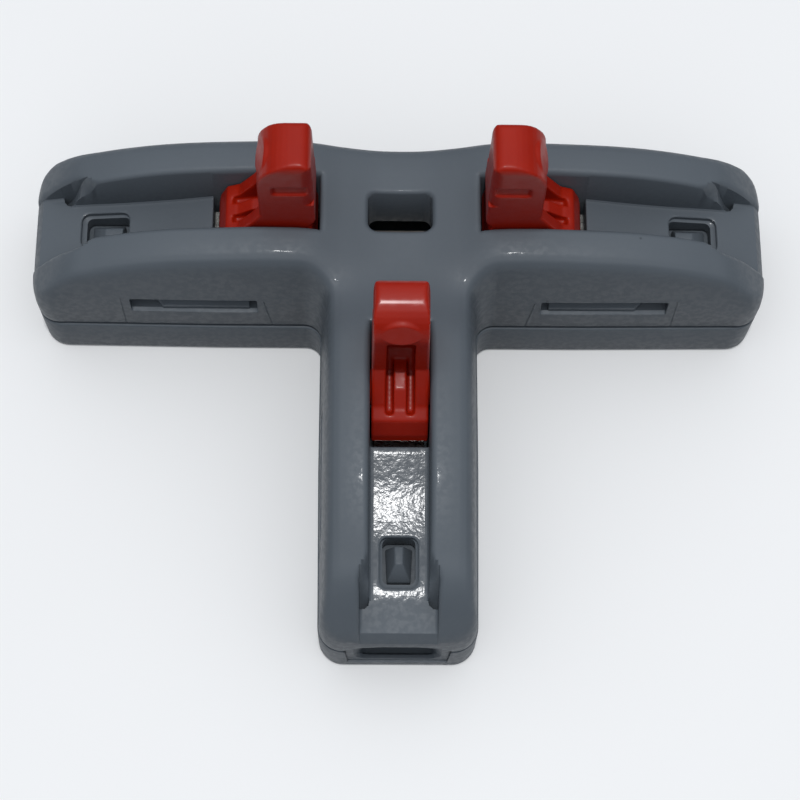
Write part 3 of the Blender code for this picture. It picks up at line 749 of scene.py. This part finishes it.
def floor_window():
    """The cutter for the window in a channel's floor, with a ledge at its sides and outer end."""
    middle = (WINDOW_OUTER + WINDOW_INNER) / 2
    slope = (FLOOR[3][1] - FLOOR[2][1]) / (WINDOW_INNER - WINDOW_OUTER)
    stations = ((-3.0, 0, 0), (0.4, 0, 0), (0.44, 0.04, 0.06), (0.48, 0.2, 0.36), (2.6, 0.2, 0.36))
    rings = []
    for depth, side, outer in stations:
        reach = (WINDOW_INNER - WINDOW_OUTER - outer) / 2
        outline = rectangle(WINDOW_INNER - reach, 0, reach, WINDOW_HALF - side, WINDOW_CORNER - side * 0.6)
        height = (FLOOR[2][1] + FLOOR[3][1]) / 2 - depth
        tilt = slope if depth < 2 else 0
        rings.append([(u, v, height + tilt * (u - middle)) for u, v in outline])
    return loft(rings)


def wall_at(u, z):
    """How far from an arm's middle its leaning side wall stands."""
    lean = EDGE_STEP + (WALL_LEAN - EDGE_STEP) * (z - SEAM_TOP) / (SHOULDER - SEAM_TOP)
    return (HALF_WIDTH - lean) * (1 - END_TAPER * min(max(1 - u / SLOT_OUTER, 0), 1))


def joint_line(side, foot_u, top_u, top):
    """The cutter for a fine groove up the side wall."""
    section = (
        (0, -JOINT_LINE_DEPTH),
        (JOINT_LINE_WIDTH, -JOINT_LINE_DEPTH),
        (JOINT_LINE_WIDTH, 1),
        (0, 1),
    )
    rings = []
    for u, z in ((foot_u, SEAM_TOP - 0.5), (top_u, top)):
        wall = wall_at(u, z)
        rings.append([(u + along, side * (wall + out), z) for along, out in section])
    return loft(rings)


def side_cutters():
    """The snap windows of an arm, and the fine joint lines beside them in the outer wall."""
    cutters = []
    middle = (SNAP_LOW + SNAP_HIGH) / 2
    middle_u = (SNAP_START + SNAP_END) / 2
    reach = (SNAP_END - SNAP_START) / 2
    outline = rectangle(middle_u, middle, reach, SNAP_HIGH - middle, 0.15)
    for side in (-1, 1):
        rings = []
        for v in (HALF_WIDTH - SHELL_WALL - 0.3, HALF_WIDTH + 1):
            drop = SILL_SLOPE * (v - HALF_WIDTH + 0.35)
            rings.append([(u, side * v, z - drop * (z < middle)) for u, z in outline])
        cutters.append(loft(rings))
        cutters.append(joint_line(side, SNAP_START - 0.65, SNAP_START - 0.65, SNAP_HIGH + 0.1))
        cutters.append(joint_line(side, SNAP_END + 0.95, SNAP_END + 0.45, SNAP_HIGH - 0.2))
    return cutters


def make_upper_shell():
    """The upper shell with its channels, slots, windows and well."""
    x, y, inside = t_grid()
    x, y = round_plan(x, y)
    u, v = in_arm((x[1:, 1:] + x[:-1, :-1]) / 2, (y[1:, 1:] + y[:-1, :-1]) / 2)[:2]
    slot = (u > SLOT_OUTER) & (u < SLOT_INNER) & (np.abs(v) < LANE_HALF)
    high_x, high_y = lean_plan(x, y, WALL_LEAN)
    low_x, low_y = lean_plan(x, y, EDGE_STEP)
    top = upper_sheet(high_x, high_y)
    bottom = np.minimum(lower_sheet(x, y), top - 0.6)
    upper = (*taper_plan(high_x, high_y), top)
    lower = (*taper_plan(low_x, low_y), bottom)
    shell = shell_from_sheets("upper_shell", upper, lower, inside & ~slot)
    arch = drawn(port_arch(), -1.0, SHELL_WALL + 0.4, "u")
    cutter = gathered("cutter", [floor_window(), arch, *side_cutters()], ARM_FRAMES)
    well = rectangle(0, BAR_Y + WELL_OFFSET, *WELL_HALF, WELL_CORNER)
    combined(shell, cutter, "DIFFERENCE")
    combined(shell, gathered("cutter", [drawn(well, 5, 16, "z")]), "DIFFERENCE")
    shell.data.materials.append(UPPER_PLASTIC)
    return smooth(shell)


def port_hole():
    """The wire's way in: a wide arched mouth, a square guide, and a narrow throat behind it."""
    stations = (
        (-0.5, 3.4, 1.1, 6.1, 1.5),
        (PORT_FACE, 3.1, 1.45, 5.8, 1.4),
        (0.45, 2.75, 1.5, 5.72, 0.9),
        (0.6, 2.6, 1.2, 5.72, 0.8),
        (1.4, 2.35, 1.2, 5.7, 0.45),
        (4.6, 2.3, 1.42, 5.7, 0.3),
        (6.2, 1.5, 1.6, SEAT_TOP, 0.3),
        (BLOCK_END + 1, 1.5, 1.6, SEAT_TOP, 0.3),
    )
    rings = []
    for u, half, low, high, corner in stations:
        outline = rectangle(0, (low + high) / 2, half, (high - low) / 2, corner)
        rings.append([(u, v, z) for v, z in outline])
    return loft(rings)


def latch_tooth():
    """The hipped tooth on the port block's roof, which catches in the floor window."""
    outer, inner, half = WINDOW_OUTER + 0.7, WINDOW_INNER - 0.45, 0.93
    ridge_start, ridge_half, ridge_top = outer + 1.05, 0.3, 8.35
    rings = []
    for z, start, end, wide in (
        (BLOCK_TOP - 0.3, outer, inner, half),
        (BLOCK_TOP + 0.5, outer, inner, half),
        (ridge_top, ridge_start, inner - 0.05, ridge_half),
    ):
        narrow = wide * 0.88
        rings.append([(start, -narrow, z), (end, -wide, z), (end, wide, z), (start, narrow, z)])
    return loft(rings)


def snap_hook(side):
    """The tab on one side of the tray, whose hook shows in the snap window."""
    hook_low = SNAP_LOW + 0.12
    tab_top = SNAP_HIGH - 0.2
    profile = [
        (side * TAB_INNER, FOOT),
        (side * TAB_OUTER, FOOT),
        (side * TAB_OUTER, hook_low),
        (side * HOOK_REACH, hook_low),
        (side * HOOK_REACH, hook_low + 0.5),
        (side * TAB_OUTER, tab_top),
        (side * TAB_INNER, tab_top),
    ]
    start, end, chamfer = SNAP_START + 1.65, SNAP_END - 0.6, 0.75
    hook = gathered("hook", [drawn(profile, start, end, "u")])
    beyond = side * (HOOK_REACH + 0.1)
    corner_cut = [
        (start - 0.1, beyond),
        (start + chamfer, beyond),
        (start - 0.1, side * (HOOK_REACH - chamfer)),
    ]
    corner = gathered("corner", [drawn(corner_cut, hook_low - 0.5, SNAP_HIGH, "z")])
    return bevelled(combined(hook, corner, "DIFFERENCE"), 0.06, 2, 30)


def port_fittings():
    """What stands on the tray in each arm: port block, latch tooth, hooks, posts and seats."""
    back = SHELL_WALL + 0.5
    front = drawn([(v * 0.985, z - 0.12) for v, z in port_arch()], PORT_FACE, back + 0.2, "u")
    port_block = block((back, -BLOCK_HALF, FOOT), (BLOCK_END, BLOCK_HALF, BLOCK_TOP))
    fitting = gathered("fitting", [port_block])
    combined(fitting, gathered("front", [front]), "UNION")
    low_lip = block((PORT_FACE, -3.6, FOOT - 0.2), (back + 0.1, 3.6, 2.2))
    combined(fitting, gathered("low_lip", [low_lip]), "UNION")
    combined(fitting, gathered("hole", [port_hole()]), "DIFFERENCE")
    bevelled(fitting, 0.08, 2, 40)
    tooth = gathered("tooth", [latch_tooth()])
    bevelled(tooth, 0.1, 3, 20)
    combined(fitting, tooth, "UNION")
    pieces = [fitting]
    for side in (-1, 1):
        pieces.append(snap_hook(side))
        low, high = sorted((side * 2.3, side * 2.9))
        post_low = (PIVOT_U - 0.95, low, FOOT)
        post = gathered("post", [block(post_low, (PIVOT_U + 0.95, high, PIVOT_Z - 0.6))])
        cradle = gathered("cradle", [rod(PIVOT_U, PIVOT_Z, BEARING_RADIUS, 4)])
        pieces.append(combined(post, cradle, "DIFFERENCE"))
    pieces.append(gathered("stop", [block((13.6, -1.4, FOOT), (14.4, 1.4, SEAT_TOP))]))
    pieces.append(gathered("seat", [block((20.5, -1.45, FOOT), (21.5, 1.45, SEAT_TOP))]))
    return pieces


def make_lower_shell():
    """The tray with its wire ports, snap hooks, bearing posts and seats."""
    x, y, inside = t_grid()
    x, y = round_plan(x, y)
    top, bottom = tray_sheets(x, y)
    x, y = taper_plan(x, y)
    tray = shell_from_sheets("lower_shell", (x, y, top), (x, y, bottom), inside)
    whole = bmesh.new()
    for piece in port_fittings():
        for turn in ARM_FRAMES:
            copy = piece.data.copy()
            copy.transform(Matrix.Scale(1 / MM, 4))
            copy.transform(turn)
            whole.from_mesh(copy)
            bpy.data.meshes.remove(copy)
        bpy.data.objects.remove(piece, do_unlink=True)
    combined(tray, to_object("fittings", whole), "UNION")
    tray.data.materials.clear()
    tray.data.materials.append(LOWER_PLASTIC)
    return smooth(tray)


# The levers -------------------------------------------------------------------------------------


def lever_outline():
    """The open lever seen from the side, about its pivot: x runs inward and y up."""
    top = LEVER_TOP - PIVOT_Z
    leaves_hub = 240
    hub = []
    for k in range(41):
        angle = math.radians(leaves_hub + (360 - leaves_hub) * k / 40)
        hub.append((HUB_RADIUS * math.cos(angle), HUB_RADIUS * math.sin(angle)))
    nose_low = hub[0][1] + (NOSE_REACH + hub[0][0]) / math.tan(math.radians(leaves_hub))
    return hub + rounded(
        [
            (3.5, 3.2, 1.0),
            (3.45, 7.6, 1.0),
            (3.4, top, 0.8),
            (-0.3, top, 2.6),
            (-0.32, 4.3, 0.4),
            (-1.0, 3.1, 0.5),
            (-2.0, 1.6, 0.6),
            (-2.9, 1.2, 0.3),
            (-3.45, -0.2, 0.2),
            (-NOSE_REACH, -1.0, 0.3),
            (-NOSE_REACH, nose_low, 0.6),
        ],
        count=10,
    )


def make_lever_mesh():
    """One lever about its pivot, in metres: hollow under its arm, with a web, dimple and grips."""
    lever = gathered("lever", [drawn(lever_outline(), -LEVER_HALF, LEVER_HALF, "v")])
    hollow = rounded(
        [
            (-4.6, 3.9, 0),
            (-2.2, 1.0, 0.3),
            (0.6, 1.7, 0.4),
            (1.7, 3.4, 0.8),
            (1.7, 8.0, 0.6),
            (1.2, 8.7, 0.3),
            (-1.8, 8.7, 0),
        ]
    )
    web = [(-4.8, 0.3), (0.8, 0.3), (1.9, 2.6), (0.4, 2.6), (-1.0, 2.35), (-2.1, 1.5), (-4.8, 1.5)]
    pocket = gathered("pocket", [drawn(hollow, -0.98, 0.98, "v")])
    combined(pocket, gathered("web", [drawn(web, -0.45, 0.45, "v")]), "DIFFERENCE")
    combined(lever, pocket, "DIFFERENCE")
    grip_depth = 0.22
    grips = []
    for face in (-LEVER_HALF, LEVER_HALF):
        grips.append(block((0.7, face - grip_depth, 7.5), (3.05, face + grip_depth, 8.55)))
    combined(lever, gathered("grips", grips), "DIFFERENCE")
    trunnions = gathered("trunnions", [rod(0, 0, TRUNNION_RADIUS, TRUNNION_HALF)])
    combined(lever, trunnions, "UNION")
    applied(lever, "REMESH", mode="VOXEL", voxel_size=0.085 * MM)
    applied(lever, "SMOOTH", factor=0.5, iterations=6)
    mesh = lever.data
    bpy.data.objects.remove(lever, do_unlink=True)
    places = np.zeros(len(mesh.vertices) * 3)
    mesh.vertices.foreach_get("co", places)
    places = places.reshape(-1, 3) / MM
    inward, across, height = places.T
    up = np.clip(height, 0, None)
    inside_arm = np.abs(across) < LEVER_HALF + 0.01
    top = LEVER_TOP - PIVOT_Z
    # the arm narrows towards its tip, and its sides roll over at the top and outer edges
    from_edge = np.maximum(np.minimum(top - up, 3.4 - inward + 99 * (up < 6.0)), 0)
    narrow = 0.06 * ease(up, 1.0, 11.0) + 0.25 * rolled(from_edge, 0.8)
    across *= np.where(inside_arm, 1 - narrow, 1)
    # the thumb's dimple is an oval pad, sunk into the rolled tip
    pad_z = 9.8
    away = np.hypot(across / 1.42, (height - pad_z) / 0.92)
    share = (1 - ease(away, 0.84, 1.0)) * (inward < 1.2) * (height > 8.4)
    pad = -0.09 + 0.42 * (height - pad_z)
    inward += share * (pad - inward)
    mesh.vertices.foreach_set("co", (places * MM).ravel())
    mesh.update()
    return mesh


def make_levers():
    """The three levers, each standing on its own pivot."""
    shape = make_lever_mesh()
    levers = {}
    for arm in ARMS:
        mesh = shape.copy()
        pivot = Matrix.Translation((PIVOT_U * MM, 0, PIVOT_Z * MM))
        (x, y), angle = ARMS[arm]
        place = Matrix.Translation((x * MM, y * MM, 0)) @ Matrix.Rotation(angle, 4, "Z") @ pivot
        mesh.transform(place)
        levers[arm] = smooth(new_object("red_lever_" + arm, mesh, LEVER_PLASTIC), 60)
    return levers


# The scene --------------------------------------------------------------------------------------


def add_camera():
    """The camera at the photograph's angle: from above, a little turned and rolled."""
    elevation = math.radians(70.3)
    azimuth = math.radians(-2.05)
    roll = math.radians(2.3)
    target = Vector((0.1, 0.5, 5.0)) * MM
    distance = 138.4 * MM
    back = Vector(
        (
            math.sin(azimuth) * math.cos(elevation),
            -math.cos(azimuth) * math.cos(elevation),
            math.sin(elevation),
        )
    )
    data = bpy.data.cameras.new("camera")
    data.lens = 86.2  # mm, on a sensor 36 mm wide
    data.sensor_width = 36
    data.clip_start = 0.01
    data.clip_end = 10
    camera = bpy.data.objects.new("camera", data)
    bpy.context.scene.collection.objects.link(camera)
    turn = (-back).to_track_quat("-Z", "Y").to_matrix().to_4x4()
    place = Matrix.Translation(target + back * distance)
    camera.matrix_world = place @ turn @ Matrix.Rotation(roll, 4, "Z")
    bpy.context.scene.camera = camera


def add_light(name, place, size, watts, aim=(0, 0, 0.008)):
    """An oval lamp at a place, turned towards its aim."""
    data = bpy.data.lights.new(name, "AREA")
    data.shape = "ELLIPSE"
    data.size, data.size_y = size
    data.energy = watts
    lamp = bpy.data.objects.new(name, data)
    bpy.context.scene.collection.objects.link(lamp)
    lamp.location = place
    lamp.rotation_euler = (Vector(aim) - Vector(place)).to_track_quat("-Z", "Y").to_euler()


def add_surroundings():
    """Pale floor, soft white sky, and one small lamp above the object."""
    mesh = bpy.data.meshes.new("floor")
    work = bmesh.new()
    bmesh.ops.create_grid(work, x_segments=1, y_segments=1, size=1.5)
    work.to_mesh(mesh)
    work.free()
    nodes = Nodes("floor")
    nodes.set(Roughness=0.9, Specular_IOR_Level=0.1)
    nodes.feed("Base Color", nodes.mix((0.9, 0.9, 0.9, 1), (0.94, 0.94, 0.94, 1), nodes.noise(40)))
    floor = new_object("floor", mesh, nodes.material)
    floor.location.z = -0.02 * MM  # just under the part, so that no two faces share a plane
    floor.visible_diffuse = False  # light bounced off the floor would wash out the lower walls
    world = bpy.data.worlds.new("sky")
    world.use_nodes = True
    tree = world.node_tree
    split = tree.nodes.new("ShaderNodeSeparateXYZ")
    tree.links.new(tree.nodes.new("ShaderNodeTexCoord").outputs["Generated"], split.inputs[0])
    ramp = tree.nodes.new("ShaderNodeValToRGB")
    ramp.color_ramp.elements[0].position = 0.2
    ramp.color_ramp.elements[0].color = (0.07, 0.085, 0.1, 1)
    ramp.color_ramp.elements[1].position = 0.95
    ramp.color_ramp.elements[1].color = (0.93, 0.96, 1.0, 1)
    tree.links.new(split.outputs["Z"], ramp.inputs["Fac"])
    tree.links.new(ramp.outputs["Color"], tree.nodes["Background"].inputs["Color"])
    tree.nodes["Background"].inputs["Strength"].default_value = 1.0
    bpy.context.scene.world = world
    add_light("key", (0.0, -0.035, 0.45), (0.02, 0.009), 0.7)


def dress(node, material):
    """Give a carried-over CAD node its finish."""
    item = frame["nodes"][node]
    item.data.materials.clear()
    item.data.materials.append(material)


bpy.context.scene.view_settings.view_transform = "Standard"
add_camera()
add_surroundings()
for node_name in frame["nodes"]:
    if node_name.startswith("clamp"):
        dress(node_name, SPRING_STEEL)
dress("busbar", TINNED_COPPER)
upper_shell = make_upper_shell()
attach(upper_shell, "root")
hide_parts("upper_housing")
lower_shell = make_lower_shell()
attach(lower_shell, "root")
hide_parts("lower_housing")
for arm_name, red_lever in make_levers().items():
    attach(red_lever, arm_name + "_lever")
    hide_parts("lever_" + arm_name)
